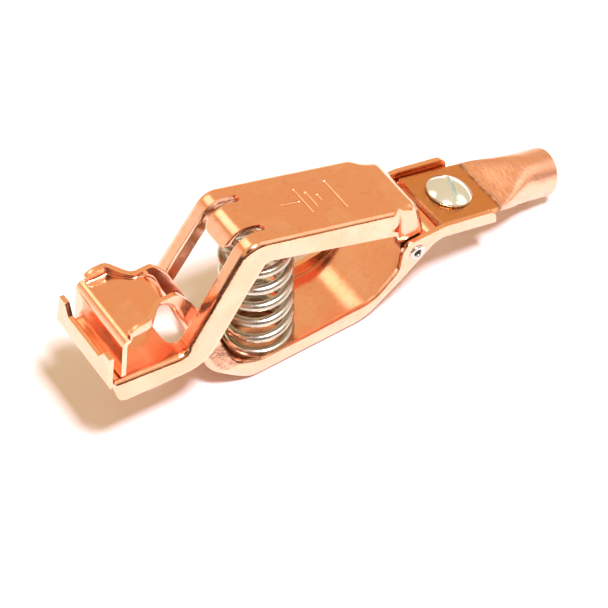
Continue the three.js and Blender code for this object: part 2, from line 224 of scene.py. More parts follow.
def roundedPath(corners, perArc=14):
    # each corner (x, z, radius) becomes an arc that touches both of its straights
    parts = []
    for i, corner in enumerate(corners):
        here = np.array(corner[:2], float)
        radius = corner[2] if len(corner) > 2 else 0
        if not radius:
            parts.append(here[None])
            continue
        back = np.array(corners[i - 1][:2]) - here
        ahead = np.array(corners[i + 1][:2]) - here
        back, ahead = back / np.hypot(*back), ahead / np.hypot(*ahead)
        half = math.acos(back @ ahead) / 2
        middle = back + ahead
        centre = here + middle / np.hypot(*middle) * radius / math.sin(half)
        arm = here + back * radius / math.tan(half) - centre
        turn = -np.sign(back[0] * ahead[1] - back[1] * ahead[0]) * (math.pi - 2 * half)
        angle = np.linspace(0, turn, perArc)
        parts.append(centre + np.stack([arm[0] * np.cos(angle) - arm[1] * np.sin(angle),
                                        arm[0] * np.sin(angle) + arm[1] * np.cos(angle)], 1))
    return np.concatenate(parts)


def lengths(path):
    # the running length of the path at each of its points
    return np.concatenate([[0], np.cumsum(np.hypot(*np.diff(path, axis=0).T))])


def along(path, s):
    # the places at the lengths s along the path
    total = lengths(path)
    return np.stack([np.interp(s, total, path[:, 0]), np.interp(s, total, path[:, 1])], -1)


def nearest(path, point):
    # the length along the path at which it comes nearest to the point
    fine = np.linspace(0, lengths(path)[-1], 4000)
    gap = along(path, fine) - np.array(point[:2])
    return fine[np.argmin(np.hypot(*gap.T))]


def pieceFromGrid(name, points, keep=None, loopRows=False, loopCols=False, caps=False):
    # quads between neighbouring rows and columns, only those that keep marks; points in mm
    rows, cols = points.shape[:2]
    index = np.arange(rows * cols).reshape(rows, cols)
    below = np.roll(index, -1, 0) if loopRows else index[1:]
    here = index if loopRows else index[:-1]
    if loopCols:
        quads = np.stack([here, below, np.roll(below, -1, 1), np.roll(here, -1, 1)], -1)
    else:
        quads = np.stack([here[:, :-1], below[:, :-1], below[:, 1:], here[:, 1:]], -1)
    points = points.reshape(-1, 3) * mm
    if keep is not None:
        used, quads = np.unique(quads[keep], return_inverse=True)
        points = points[used]
    faces = quads.reshape(-1, 4).tolist()
    if caps:
        faces += [index[0].tolist(), index[-1][::-1].tolist()]
    return newPiece(name, points.tolist(), faces)


def read(items, label, size=1, kind=float):
    # one attribute of every vertex, loop or face, as an array
    values = np.empty(len(items) * size, kind)
    items.foreach_get(label, values)
    return values.reshape(-1, size) if size > 1 else values


def place(piece, points):
    piece.data.vertices.foreach_set("co", points.ravel())


def smoothFaces(piece):
    piece.data.polygons.foreach_set("use_smooth", [True] * len(piece.data.polygons))


def tidyMesh(piece, merge=1e-6, turn=True):
    # joins points closer than merge, and unless turn is off makes every face look outwards
    work = bmesh.new()
    work.from_mesh(piece.data)
    bmesh.ops.remove_doubles(work, verts=work.verts, dist=merge)
    bmesh.ops.dissolve_degenerate(work, edges=work.edges, dist=merge)
    if turn:
        bmesh.ops.recalc_face_normals(work, faces=work.faces)
    work.to_mesh(piece.data)
    work.free()
    smoothFaces(piece)
    return piece


def thicken(piece, depth, most=1.35):
    # copies the skin inwards along its own normals, further at a crease by one over the cosine
    # between the vertex and face normals, up to most times, and closes the free edges
    mesh = piece.data
    count = len(mesh.vertices)
    skin, upright = read(mesh.vertices, "co", 3), read(mesh.vertices, "normal", 3)
    corner, edge = (read(mesh.loops, label, 1, int) for label in ("vertex_index", "edge_index"))
    start, sides = (read(mesh.polygons, label, 1, int) for label in ("loop_start", "loop_total"))
    facing = np.repeat(read(mesh.polygons, "normal", 3), sides, 0)
    following = np.arange(len(corner)) + 1
    following[start + sides - 1] = start
    slant = np.bincount(corner, (upright[corner] * facing).sum(1), count)
    slant /= np.bincount(corner, minlength=count)
    inside = skin - upright * (depth / np.clip(slant, 1 / most, 1))[:, None]
    free = np.bincount(edge)[edge] == 1
    a, b = corner[free], corner[following][free]
    outer = np.split(corner, start[1:])
    faces = [face.tolist() for face in outer] + [(face[::-1] + count).tolist() for face in outer]
    faces += np.stack([b, a, a + count, b + count], 1).tolist()
    thick = bpy.data.meshes.new(piece.name)
    thick.from_pydata(np.concatenate([skin, inside]).tolist(), [], faces)
    piece.data = thick
    bpy.data.meshes.remove(mesh)


def bevel(width, angle):
    # rounds every edge that turns by more than the angle, in degrees
    return "BEVEL", {"width": width * mm, "segments": 2, "limit_method": "ANGLE",
                     "angle_limit": math.radians(angle)}


def cutBy(cutter):
    return "BOOLEAN", {"object": cutter, "operation": "DIFFERENCE", "solver": "EXACT"}


def settle(piece, *modifiers):
    # adds each (kind, settings), then keeps the result as the piece's own mesh
    for kind, settings in modifiers:
        modifier = piece.modifiers.new(kind.lower(), kind)
        for key, value in settings.items():
            setattr(modifier, key, value)
    bpy.context.view_layer.update()
    evaluated = piece.evaluated_get(bpy.context.evaluated_depsgraph_get())
    final = bpy.data.meshes.new_from_object(evaluated)
    piece.modifiers.clear()
    piece.data = final
    return piece


def scrap(*pieces):
    for piece in pieces:
        mesh = piece.data
        bpy.data.objects.remove(piece)
        bpy.data.meshes.remove(mesh)


def ring(radius, angle, height):
    # points at a radius and an angle about Z
    return np.stack([radius * np.cos(angle), radius * np.sin(angle), height + 0 * angle], -1)


def fullTurn(count):
    return np.linspace(0, 2 * math.pi, count, endpoint=False)


def revolved(name, profile, count=48):
    # a profile of (radius, height) turned about Z
    profile = np.array(profile, float)
    return pieceFromGrid(name, ring(profile[:, :1], fullTurn(count), profile[:, 1:]), loopCols=True)


def bar(name, radius, low, high):
    # a round bar along Z, for cutting a hole
    return revolved(name, [(0, low), (radius, low), (radius, high), (0, high)])


def between(value, start, end):
    # 0 up to start, 1 from end on, and evenly rising in between
    return np.clip((value - start) / (end - start), 0, 1)


def shares(count):
    return np.linspace(0, 1, count + 1)[1:]


def roundOff(share):
    # how far a quarter circle has fallen back at this share of its radius
    return 1 - np.sqrt(1 - share ** 2)


# columns of the pressed sheets, counted from the middle of the web out to the flange's edge
sheetGrid = {
    "middle": 6,
    "slot": 3,
    "web": 6,
    "bend": 7,
    "flange": 10,
    "step": 0.7,       # between rows, mm
    "leastStep": 0.05,
    "reach": 1.9,      # finer rows this far to each side of a feature
    "fineRows": 12,
    "fade": 0.6,       # the length over which the fold dies out
    "bendShare": 0.8,  # of a low flange that the bend may take up
}
slotColumn = sheetGrid["middle"]
webColumn = slotColumn + sheetGrid["slot"]
flangeColumn = webColumn + sheetGrid["web"] + sheetGrid["bend"]


def sheetRows(face, features):
    # lengths along the face: its own corners, even steps, and finer ones round each feature
    total = lengths(face)
    s = [total, np.arange(0, total[-1], sheetGrid["step"])]
    spread = np.linspace(-sheetGrid["reach"], sheetGrid["reach"], sheetGrid["fineRows"])
    for point in features:
        middle = nearest(face, point)
        s += [[middle], np.clip(middle + spread, 0, total[-1])]
    s = np.sort(np.concatenate(s))
    return s[np.concatenate([[True], np.diff(s) > sheetGrid["leastStep"]])]


def pressedSheet(name, shape, face, edge, pairs, features=()):
    # the outside of a pressed channel. Along: the web's outer face. Across: from the middle of the web
    # to the bend, round a quarter circle, and down the flange to its free edge. shape holds width,
    # bend, inner and outer as functions, and omit for what is cut away; its left says that the flange
    # lies to the left of the web's path; pairs tie places on the face to places on the edge.
    width, bend = shape["width"], shape["bend"]
    s = sheetRows(face, features)
    total, foldEnd = lengths(face)[-1], nearest(face, shape["endFold"])
    at = along(face, s)
    step = sheetGrid["leastStep"]
    ahead = along(face, np.minimum(s + step, total)) - along(face, np.maximum(s - step, 0))
    ahead /= np.hypot(*ahead.T)[:, None]
    normal = np.stack([ahead[:, 1], -ahead[:, 0]], 1) * (1 if shape["left"] else -1)
    faceAt, edgeAt = [nearest(face, a) for a, b in pairs], [nearest(edge, b) for a, b in pairs]
    rim = along(edge, np.interp(s, faceAt, edgeAt))
    down = rim - at
    depth = np.hypot(*down.T)
    down /= depth[:, None]
    square = np.clip(-(down * normal).sum(1), 0.5, 1)
    folded = between(s, foldEnd, foldEnd - sheetGrid["fade"])
    bendAt = bend(at[:, 0])
    fullness = np.minimum(folded, sheetGrid["bendShare"] * depth * square / bendAt)
    flat = width(at[:, 0], at[:, 1]) - bendAt
    inner, outer = shape["inner"](at, s), shape["outer"](at, s)
    columns = [inner * f for f in (0, *shares(sheetGrid["middle"]))]
    columns += [inner + (outer - inner) * f for f in shares(sheetGrid["slot"])]
    columns += [outer + (flat - outer) * f for f in shares(sheetGrid["web"])]
    grid = [np.stack([at[:, 0], y, at[:, 1]], 1) for y in columns]
    for f in shares(sheetGrid["bend"]):
        angle = f * math.pi / 2
        x, z = (at + down * (fullness * bendAt * (1 - math.cos(angle)) / square)[:, None]).T
        reach = bendAt * ((1 - fullness) * f + fullness * math.sin(angle))
        grid.append(np.stack([x, width(x, z) - bendAt + reach, z], 1))
    start = fullness * bendAt / square
    for f in shares(sheetGrid["flange"]):
        x, z = (at + down * (start + (depth - start) * f * folded)[:, None]).T
        grid.append(np.stack([x, width(x, z), z], 1))
    half = np.stack(grid, 1)
    middles = (s[1:, None] + s[:-1, None]) / 2
    column = np.arange(half.shape[1] - 1)[None]
    keep = ~((column >= flangeColumn) & (middles > foldEnd))
    if "omit" in shape:
        keep &= ~shape["omit"](middles, column)
    points = np.concatenate([half[:, ::-1], half[:, 1:] * np.array([1, -1, 1])], 1)
    piece = pieceFromGrid(name, points, np.concatenate([keep[:, ::-1], keep], 1))
    tidyMesh(piece, 1e-7, turn=False)
    if not shape["left"]:
        piece.data.flip_normals()
    thicken(piece, sheet * mm)
    return settle(piece, bevel(0.2, 42))


pivot = {"x": 35.8, "z": 15.6, "hole": 1.3, "reach": 15.0}


def toPivot(piece, side=1):
    # lays a shape that stands along Z along Y instead, through the pivot
    points = read(piece.data.vertices, "co", 3)[:, [0, 2, 1]] * np.array([1, side, 1])
    place(piece, points + np.array([pivot["x"], 0, pivot["z"]]) * mm)
    return tidyMesh(piece)


def pivotHole():
    return toPivot(bar("pivotHole", pivot["hole"], -pivot["reach"], pivot["reach"]))


def stadium(name, centre, length, radius, turn, pitch):
    # a bar with round ends and a round belly, for pressing a stroke into the plate
    u = fullTurn(24)
    v = np.linspace(-math.pi / 2, math.pi / 2, 9)[:, None]
    x, y, z = np.cos(v) * np.cos(u) * radius, np.cos(v) * np.sin(u) * radius, np.sin(v) * radius + 0 * u
    y = y + np.where(np.sin(u) > 0, 1, -1) * max(length / 2 - radius, 0)
    x, y = x * math.cos(turn) - y * math.sin(turn), x * math.sin(turn) + y * math.cos(turn)
    x, z = x * math.cos(pitch) + z * math.sin(pitch), z * math.cos(pitch) - x * math.sin(pitch)
    return tidyMesh(pieceFromGrid(name, np.stack([x, y, z], -1) + np.array(centre), loopCols=True))


topSize = {
    "pitch": 18.5,             # the plate's slope, degrees
    "plateHeight": 42.7,
    "plateX": -4.0,            # where the plate has that height
    "rear": 38.2,
    "bend": 1.6,               # radius of the rolled edges
    "hoodBend": 1.2,           # and what the rear adds to it
    "hoodOpens": (30.0, 35.0),
    "hoodRound": 1.6,          # how far the rear corners draw in
    "hoodAlong": (36.0, 38.3),
    "hoodUp": (19.0, 24.0),
    "hoodMost": 0.96,
    "plateHalf": 10.0,
    "earHalf": 8.9,
    "legHalf": 10.75,
    "lip": (-41.3, 30.7),
    "lipTaper": 0.35,
    "lipRise": (23.5, 30.5),
    "lipStart": -38.0,
    "lipFold": (-41.9, 22.6),
    "tab": 3.95,               # half widths
    "tabRear": 2.5,
    "tabTip": (-10.4, 39.0),
    "tabRound": 1.8,
    "slotEnd": (-0.8, 41.6),
    "window": 5.95,
    "windowLow": 6.5,
    "windowRear": 3.5,
    "legAlong": (-16.0, -9.0),   # between these the window widens
    "rearAlong": (28.0, 36.0),   # and between these the tab and window narrow
    "windowEnd": (-26.2, 20.3),
    "windowRound": 3.0,
    "notchFrom": -36.0,
    "notchDeep": 2.6,
    "notchHalf": (6.25, 8.05),
    "markDepth": 0.25,
    "relief": ((28.8, 26.6), (31.3, 27.3), (31.0, 24.5)),
    "reliefAcross": (7.0, 12.0),
}


def plateZ(x):
    slope = math.tan(math.radians(topSize["pitch"]))
    return topSize["plateHeight"] - slope * (x - topSize["plateX"])


def buildRelief(side):
    # a three-sided bar across the flange, where the ear is bent away from the plate
    points = [(x * mm, side * y * mm, z * mm) for y in topSize["reliefAcross"] for x, z in topSize["relief"]]
    return tidyMesh(newPiece("relief", points, [(0, 1, 2), (5, 4, 3), (0, 3, 4, 1), (1, 4, 5, 2),
                                                (2, 5, 3, 0)]))


def buildTopLever():
    rear = (topSize["rear"], plateZ(topSize["rear"]) - 2.4)
    ear = (38.15, 15.6)
    earHalf, plateHalf, legHalf = topSize["earHalf"], topSize["plateHalf"], topSize["legHalf"]
    face = roundedPath([rear, (36.3, plateZ(36.3) - 0.35, 3), (31.5, plateZ(31.5), 9),
                        (-7.05, plateZ(-7.05), 5), (-24.1, 20.0, 3.2), (-42.5, 22.7, 1.3), topSize["lip"]])
    edge = roundedPath([ear, (38.15, 13.25, 2.3), (33.45, 13.25, 2.3), (30.2, 24.2, 0.8),
                        (-3.4, 36.9, 1.6), (-19.4, 14.5, 8), (-41.1, 16.2, 2.6), (-42.3, 22.0)])
    pairs = [(rear, ear), ((36.4, 28.1), (36.2, 13.3)), ((33.6, 29.8), (33.0, 14.8)),
             ((30.7, 31.0), (30.2, 24.2)), ((26, 32.6), (26, 25.8)), ((-6.2, 42.6), (-3.6, 36.4)),
             ((-24.0, 20.4), (-19.9, 16.2)), ((-38.6, 22.1), (-39.0, 16.0)), ((-41.6, 22.5), (-42.1, 20.6))]
    plan = roundedPath([(60, earHalf), (32.4, earHalf, 1.6), (30.2, plateHalf, 1.6), (-8, plateHalf, 20),
                        (-25, legHalf, 20), (-60, legHalf)])[::-1]
    tabS, slotS, lowS, lipS = (nearest(face, topSize[k]) for k in ("tabTip", "slotEnd", "windowEnd", "lip"))
    notchS = lipS - topSize["notchDeep"]
    slotHalf = (topSize["window"] - topSize["tab"]) / 2

    def width(x, z):
        lip = between(z, *topSize["lipRise"]) * (x < topSize["lipStart"])
        corner = np.minimum(between(x, *topSize["hoodAlong"]), topSize["hoodMost"])
        hood = roundOff(corner) * between(z, *topSize["hoodUp"])
        return np.interp(x, plan[:, 0], plan[:, 1]) - topSize["lipTaper"] * lip - topSize["hoodRound"] * hood

    def bend(x):
        return topSize["bend"] + topSize["hoodBend"] * between(x, *topSize["hoodOpens"])

    def slotRound(s):
        return slotHalf * roundOff(between(s, slotS + slotHalf, slotS))

    def inner(at, s):
        # the tab's edge, rounded at its tip, and the slot's inner side, rounded at its end
        y = np.interp(at[:, 0], topSize["rearAlong"], [topSize["tab"], topSize["tabRear"]])
        tip = between(s, tabS - topSize["tabRound"], tabS)
        y = np.where(s <= tabS, y - topSize["tabRound"] * roundOff(tip), y)
        return np.where(s >= slotS, y + slotRound(s), y)

    def outer(at, s):
        # the window's side, widening down the legs, then the notch in the lip
        y = np.interp(at[:, 0], [*topSize["legAlong"], *topSize["rearAlong"]],
                      [topSize["windowLow"], topSize["window"], topSize["window"], topSize["windowRear"]])
        y = np.where(at[:, 0] < topSize["notchFrom"], np.interp(s, [notchS, lipS], topSize["notchHalf"]), y)
        y = np.where(s >= slotS, y - slotRound(s), y)
        low = between(s, lowS - topSize["windowRound"], lowS)
        return np.where(s <= lowS, y - topSize["windowRound"] * roundOff(low), y)

    def omit(s, column):
        window = (s > tabS) & (s < lowS)
        slots = (s > slotS) & (s < lowS) & (column >= slotColumn)
        return (window | slots | (s > notchS)) & (column < webColumn)

    shape = {"width": width, "bend": bend, "inner": inner, "outer": outer, "omit": omit,
             "endFold": topSize["lipFold"], "left": True}
    features = [topSize["tabTip"], topSize["slotEnd"], topSize["windowEnd"], (-25.0, 20.6), (-41.4, 28.1)]
    lever = pressedSheet("topLever", shape, face, edge, pairs, features)
    pitch = math.radians(topSize["pitch"])
    cutters = [pivotHole()]
    # the strokes of an earth symbol: place along the plate, length, radius and turn
    for i, (x, length, radius, turn) in enumerate([(9.2, 5.2, 0.5, math.pi / 2), (12.2, 8.4, 0.5, 0),
                                                   (14.3, 5.4, 0.5, 0), (16.4, 2.6, 0.5, 0),
                                                   (20.6, 9.8, 0.55, 0)]):
        lift = radius - topSize["markDepth"]
        centre = (x + lift * math.sin(pitch), 0, plateZ(x) + lift * math.cos(pitch))
        cutters.append(stadium(f"stroke{i}", centre, length, radius, turn, pitch))
    cutters += [buildRelief(side) for side in (-1, 1)]
    settle(lever, *[cutBy(cutter) for cutter in cutters])
    scrap(*cutters)
    return lever


bottomSize = {
    "belly": 9.8,              # half widths
    "tail": 10.4,
    "neck": 5.3,
    "jaw": (9.65, 10.2),
    "shoulder": 9.85,
    "shoulderX": -18.0,
    "shoulderSlope": 0.5,
    "shoulderFade": (-8.0, -5.0),
    "shoulderOff": 30.0,       # wide enough to leave the plan as it is
    "nose": (-6.0, 12.3),      # where its ellipse is centred, and its length
    "noseSpan": (-20.0, -5.0),
    "jawTop": 33.45,
    "jawEnd": -36.5,
    "bend": 1.6,
    "innerShare": 0.3,         # of the half width, where the grid's columns change step
    "outerShare": 0.5,
    "tailEnd": (57.8, 11.3),
    "tailBend": (41.85, 15.57),
    "platformPitch": 15.0,     # degrees
    "screwX": 50.9,
    "screwHole": 2.6,
}


def buildBottomLever():
    low = bottomSize["jawTop"] - sheet
    belly, tail, neck = bottomSize["belly"], bottomSize["tail"], bottomSize["neck"]
    face = roundedPath([bottomSize["tailEnd"], (*bottomSize["tailBend"], 4.5), (22.4, 0, 12), (-8.2, 0, 7),
                        (-16.9, 6.0, 6), (-24.9, low, 4), (-37.6, low, 0.9), (-38.6, 22.8)])
    edge = roundedPath([bottomSize["tailEnd"], (57.6, 15.9, 2.6), (43.5, 19.5, 8), (32.2, 19.5, 2.8),
                        (31.2, 12.0, 4), (24.5, 5.4, 9), (10, 4.8, 9), (-5.2, 4.8, 4), (-11.2, 7.0, 4),
                        (-13.6, 14, 6), (-19.4, 29.2, 6), (-22.7, 34.2, 2.4), (-28.3, 34.2, 2.5),
                        (-31.5, 35.8, 2.5), (-35.2, 35.8, 3), (-38.7, 33.4)])
    pairs = [(bottomSize["tailEnd"], (57.75, 12.9)), ((54.5, 12.2), (55.2, 16.5)),
             ((41.6, 15.2), (42.5, 19.6)), ((39.2, 13.5), (36.8, 19.5)),
             ((36, 10.9), (32.4, 18.6)), ((33, 8.5), (31.3, 13.4)),
             ((29, 5.3), (28, 8.9)), ((22.4, 0.9), (21.0, 5.3)), ((-7.6, 0.2), (-5.2, 4.85)),
             ((-16.4, 6.4), (-11.7, 8.6)), ((-18.5, 11.3), (-13.9, 15)), ((-23.4, 27.8), (-19.5, 29.4)),
             ((-24.6, 31.4), (-22.2, 33.6)), ((-28, low), (-28, 34.2)), ((-31.5, low), (-31.6, 35.6)),
             ((-37.4, low), (-38.4, 33.6))]
    turn = np.linspace(math.pi / 2, math.pi, 20)
    noseX, noseLong = bottomSize["nose"]
    jawNear, jawFar = bottomSize["jaw"]
    plan = np.concatenate([
        roundedPath([(70, tail), (32, tail, 20), (18, belly, 20), (-4, belly)]),
        np.stack([noseX + noseLong * np.cos(turn), neck + (belly - neck) * np.sin(turn)], 1),
        roundedPath([(-20, neck), (-27.4, neck, 2.2), (-31.4, jawNear, 3), (-60, jawFar)])])[::-1]
    shoulder = roundedPath([(bottomSize["shoulder"], -20), (bottomSize["shoulder"], 1.5, 4),
                            (neck, 10.5, 3), (neck, 60)])

    def width(x, z):
        # the plan's width, and on the nose no more than the shoulder's at that height
        across = np.interp(x, plan[:, 0], plan[:, 1])
        height = z - bottomSize["shoulderSlope"] * (x - bottomSize["shoulderX"])
        narrow = np.interp(height, shoulder[:, 1], shoulder[:, 0])
        narrow = np.maximum(narrow, between(x, *bottomSize["shoulderFade"]) * bottomSize["shoulderOff"])
        noseEnd, noseStart = bottomSize["noseSpan"]
        return np.where((x < noseStart) & (x > noseEnd), np.minimum(across, narrow), across)

    def bend(x):
        return bottomSize["bend"] + 0 * x

    def inner(at, s):
        return bottomSize["innerShare"] * width(*at.T)

    def outer(at, s):
        return bottomSize["outerShare"] * width(*at.T)

    shape = {"width": width, "bend": bend, "inner": inner, "outer": outer,
             "endFold": (bottomSize["jawEnd"], low), "left": False}
    lever = pressedSheet("bottomLever", shape, face, edge, pairs)
    screwHole = toPlatform(bar("screwHole", bottomSize["screwHole"], -5, 5))
    cutters = [pivotHole(), tidyMesh(screwHole)]
    settle(lever, *[cutBy(cutter) for cutter in cutters])
    scrap(*cutters)
    return lever


def toPlatform(piece):
    # from the platform's own frame: x along the palm from the screw, z square to it
    pitch = math.radians(bottomSize["platformPitch"])
    (endX, endZ), (bendX, bendZ) = bottomSize["tailEnd"], bottomSize["tailBend"]
    screwX = bottomSize["screwX"]
    origin = np.array([screwX, 0, endZ + (endX - screwX) * (bendZ - endZ) / (endX - bendX)])
    x, y, z = read(piece.data.vertices, "co", 3).T
    turned = np.stack([x * math.cos(pitch) + z * math.sin(pitch), y,
                       z * math.cos(pitch) - x * math.sin(pitch)], 1)
    place(piece, turned + origin * mm)
    return piece


coil = {
    "turns": 7.8,
    "wire": 1.1,           # radius
    "radius": 7.25,
    "lean": 0.11,
    "top": 38.17,
    "gap": 0.2,
    "endTurn": 0.8,        # turns lying flat at each end
    "endLift": 0.72,       # what an end turn still climbs, in wire radii
    "ground": 0.8,         # from a ground end to the wire's centre, in wire radii
    "perTurn": 44,
    "around": 18,
}


def buildSpring():
    # a wire carried round a helix; the end turns lie flat and are ground level
    wire = coil["wire"]
    t = np.linspace(0, 1, int(coil["turns"] * coil["perTurn"]))
    floor = sheet + coil["gap"]
    seat = floor + wire * coil["ground"]
    height = coil["top"] - wire * coil["ground"] - coil["gap"] - seat
    end, endLift = coil["endTurn"] / coil["turns"], coil["endLift"] * wire
    flat = endLift * (np.minimum(t, end) + np.maximum(t - 1 + end, 0)) / end
    angle = 2 * math.pi * coil["turns"] * t
    line = ring(coil["radius"], angle, seat + flat + between(t, end, 1 - end) * (height - 2 * endLift))
    line[:, 2] -= coil["lean"] * line[:, 0] * t
    ahead = np.gradient(line, axis=0)
    ahead /= np.linalg.norm(ahead, axis=1)[:, None]
    outward = ring(1, angle, 0)
    outward -= (outward * ahead).sum(1)[:, None] * ahead
    outward /= np.linalg.norm(outward, axis=1)[:, None]
    side = np.cross(ahead, outward)
    around = fullTurn(coil["around"])[None, :, None]
    points = line[:, None] + wire * (np.cos(around) * outward[:, None] + np.sin(around) * side[:, None])
    points[..., 2] = np.maximum(points[..., 2], floor)
    return settle(tidyMesh(pieceFromGrid("spring", points, loopCols=True, caps=True)), bevel(0.12, 50))


eyelet = {"bore": 0.85, "shank": 1.25, "rim": 2.05, "outside": 10.45, "inside": 7.7, "roll": 0.42}


def buildEyelet(side):
    # a tube whose ends are rolled over: half a circle of roll at each end of the shank
    roll = np.linspace(0, math.pi, 9)
    middle, half = (eyelet["rim"] + eyelet["bore"]) / 2, (eyelet["rim"] - eyelet["bore"]) / 2
    outer = np.stack([middle + half * np.cos(roll), eyelet["outside"] + eyelet["roll"] * np.sin(roll)], 1)
    inner = np.stack([middle - half * np.cos(roll), eyelet["inside"] - eyelet["roll"] * np.sin(roll)], 1)
    shank = np.array([[eyelet["shank"], eyelet["inside"]], [eyelet["shank"], eyelet["outside"]]])
    profile = np.concatenate([inner, shank, outer, inner[:1]])
    return toPivot(revolved("eyelet" + ("Left" if side > 0 else "Right"), profile), side)


# in the next four, heights are from the underside of the platform
palm = {
    "start": -8.0,
    "crease": 9.2,         # where the flat palm ends
    "roundFrom": 22.0,     # where the barrel is fully round
    "mouth": 28.5,
    "half": 8.5,
    "taper": 0.4,
    "thick": 1.7,
    "barrel": 5.85,
    "wall": 0.95,
    "drop": 0.65,
    "bottom": 1.35,
    "square": 0.16,        # power of the flat section; 1 is round
    "pinch": 0.16,
    "pinchLong": 0.35,
    "socketEnd": 3.2,
}
screwSize = {
    "head": 5.4,
    "tall": 2.5,
    "rimTall": 0.7,
    "rimRound": 0.35,
    "shank": 2.4,
    "slot": 1.15,
    "slotDeep": 1.2,
    "slotTurn": -21.5,
    "pitch": 0.8,
    "threadDeep": 0.32,
    "point": 0.5,
    "seatGap": 0.2,
    "past": 1.0,           # beyond the nut
}
washerSize = {"outer": 4.2, "inner": 2.65, "thick": 1.1, "split": 0.8, "spring": 0.1, "gap": 0.2}
nutSize = {"flats": 8.0, "tall": 3.6, "hole": 2.5, "countersink": 0.35, "gap": 0.4}


def buildScrew():
    # a domed head: a spherical crown over a rounded rim
    seat = palm["bottom"] + palm["thick"] + screwSize["seatGap"]
    end = -nutSize["gap"] - washerSize["thick"] - nutSize["tall"] - screwSize["past"]
    rise = screwSize["tall"] - screwSize["rimTall"]
    crown = (screwSize["head"] ** 2 + rise ** 2) / (2 * rise)
    radius = np.linspace(screwSize["head"], 0, 22)
    top = seat + screwSize["tall"] - (crown - np.sqrt(crown ** 2 - radius ** 2))
    bow, edge = screwSize["rimRound"], np.linspace(-math.pi / 2, 0, 6)
    rim = np.stack([screwSize["head"] - bow + bow * np.cos(edge), seat + bow + bow * np.sin(edge)], 1)
    dome = np.stack([radius, top], 1)
    head = tidyMesh(revolved("cableScrew", np.concatenate([[[0, seat]], rim, dome]), 96))
    w, reach, floor = screwSize["slot"] / 2, 8, seat + screwSize["tall"] - screwSize["slotDeep"]
    turn = math.radians(screwSize["slotTurn"])
    cosine, sine = math.cos(turn), math.sin(turn)
    corners = [((x * cosine - y * sine) * mm, (x * sine + y * cosine) * mm, z * mm)
               for z in (floor, floor + 5) for x, y in ((-w, -reach), (w, -reach), (w, reach), (-w, reach))]
    slot = newPiece("slot", corners, [(3, 2, 1, 0), (4, 5, 6, 7), (0, 1, 5, 4), (1, 2, 6, 5), (2, 3, 7, 6),
                                      (3, 0, 4, 7)])
    settle(head, cutBy(slot), bevel(0.08, 35))
    scrap(slot)
    # the thread: a shank whose radius falls and rises with height less one pitch a turn
    angle = fullTurn(40)
    z = np.linspace(end, seat + 0.1, 120)[:, None]
    phase = (z / screwSize["pitch"] - angle[None] / (2 * math.pi)) % 1
    bite = screwSize["threadDeep"] * np.abs(2 * phase - 1) * np.clip((z - end) / 0.6, 0.4, 1)
    tip = np.clip((z - end) / screwSize["point"], 0, 1) * 0.35 + 0.65
    r = (screwSize["shank"] - bite) * np.where(z < end + screwSize["point"], tip, 1)
    thread = tidyMesh(pieceFromGrid("thread", ring(r, angle, z), loopCols=True, caps=True))
    with bpy.context.temp_override(active_object=head, selected_editable_objects=[head, thread]):
        bpy.ops.object.join()
    return head


def buildNut():
    # a hexagon: the radius at each angle is the flat's distance over the cosine, capped to chamfer the ends
    angle = fullTurn(72)
    flat = (nutSize["flats"] / 2) / np.cos((angle + math.pi / 6) % (math.pi / 3) - math.pi / 6)
    tall, hole, sink = nutSize["tall"] / 2, nutSize["hole"], nutSize["countersink"]
    chamfer = ((0, 3.9), (0.12, 4.1), (0.45, 4.5), (0.6, 9))     # down from the end, and the radius there
    rings = [(np.minimum(flat, cap), -tall + down) for down, cap in chamfer]
    rings += [(flat, 0)] + [(np.minimum(flat, cap), tall - down) for down, cap in chamfer[::-1]]
    rings += [(hole + sink, tall), (hole, tall - sink), (hole, -tall + sink), (hole + sink, -tall)]
    centre = -nutSize["gap"] - washerSize["thick"] - tall
    points = np.stack([ring(r + 0 * angle, angle, z + centre) for r, z in rings])
    return tidyMesh(pieceFromGrid("screwNut", points, loopRows=True, loopCols=True))


def buildWasher():
    # a square section carried round nearly a whole turn, its two ends sprung apart
    t = np.linspace(0, 1, 64)
    gapTurn = washerSize["split"] / washerSize["outer"]
    angle = -math.pi / 2 + gapTurn / 2 + t * (2 * math.pi - gapTurn)
    lift = washerSize["spring"] * (t - 0.5)
    inner, outer = washerSize["inner"], washerSize["outer"]
    centre, half = -washerSize["gap"] - washerSize["thick"] / 2, (washerSize["thick"] - 0.15) / 2
    points = np.stack([ring(r, angle, centre + side * half + lift)
                       for r, side in ((inner, -1), (outer, -1), (outer, 1), (inner, 1))], 1)
    return settle(tidyMesh(pieceFromGrid("lockWasher", points, loopCols=True, caps=True)), bevel(0.1, 40))


def lugSection(x, angle, inset):
    # flat at the palm, round at the barrel: half width, half height and squareness change along x
    opened = between(x, palm["crease"], palm["roundFrom"])
    opened = opened * opened * (3 - 2 * opened)
    share = between(x, palm["start"], palm["crease"])
    half = (palm["half"] - palm["taper"] * share) * (1 - opened) + palm["barrel"] * opened - inset
    tall = palm["thick"] / 2 * (1 - opened ** 0.8) + palm["barrel"] * opened ** 0.8 - inset
    power = palm["square"] * (1 - opened ** 0.6) + opened ** 0.6
    cosine, sine = np.cos(angle), np.sin(angle)
    y = half * np.sign(cosine) * np.abs(cosine) ** power
    z = tall * np.sign(sine) * np.abs(sine) ** power
    pinch = np.exp(-((x - palm["crease"]) / palm["pinchLong"]) ** 2) * palm["pinch"]
    z = z - pinch * np.clip(sine, 0, 1) ** 0.4 * (inset == 0)
    return np.stack([x + 0 * angle, y, z + palm["bottom"] + palm["thick"] / 2 - palm["drop"] * opened], -1)


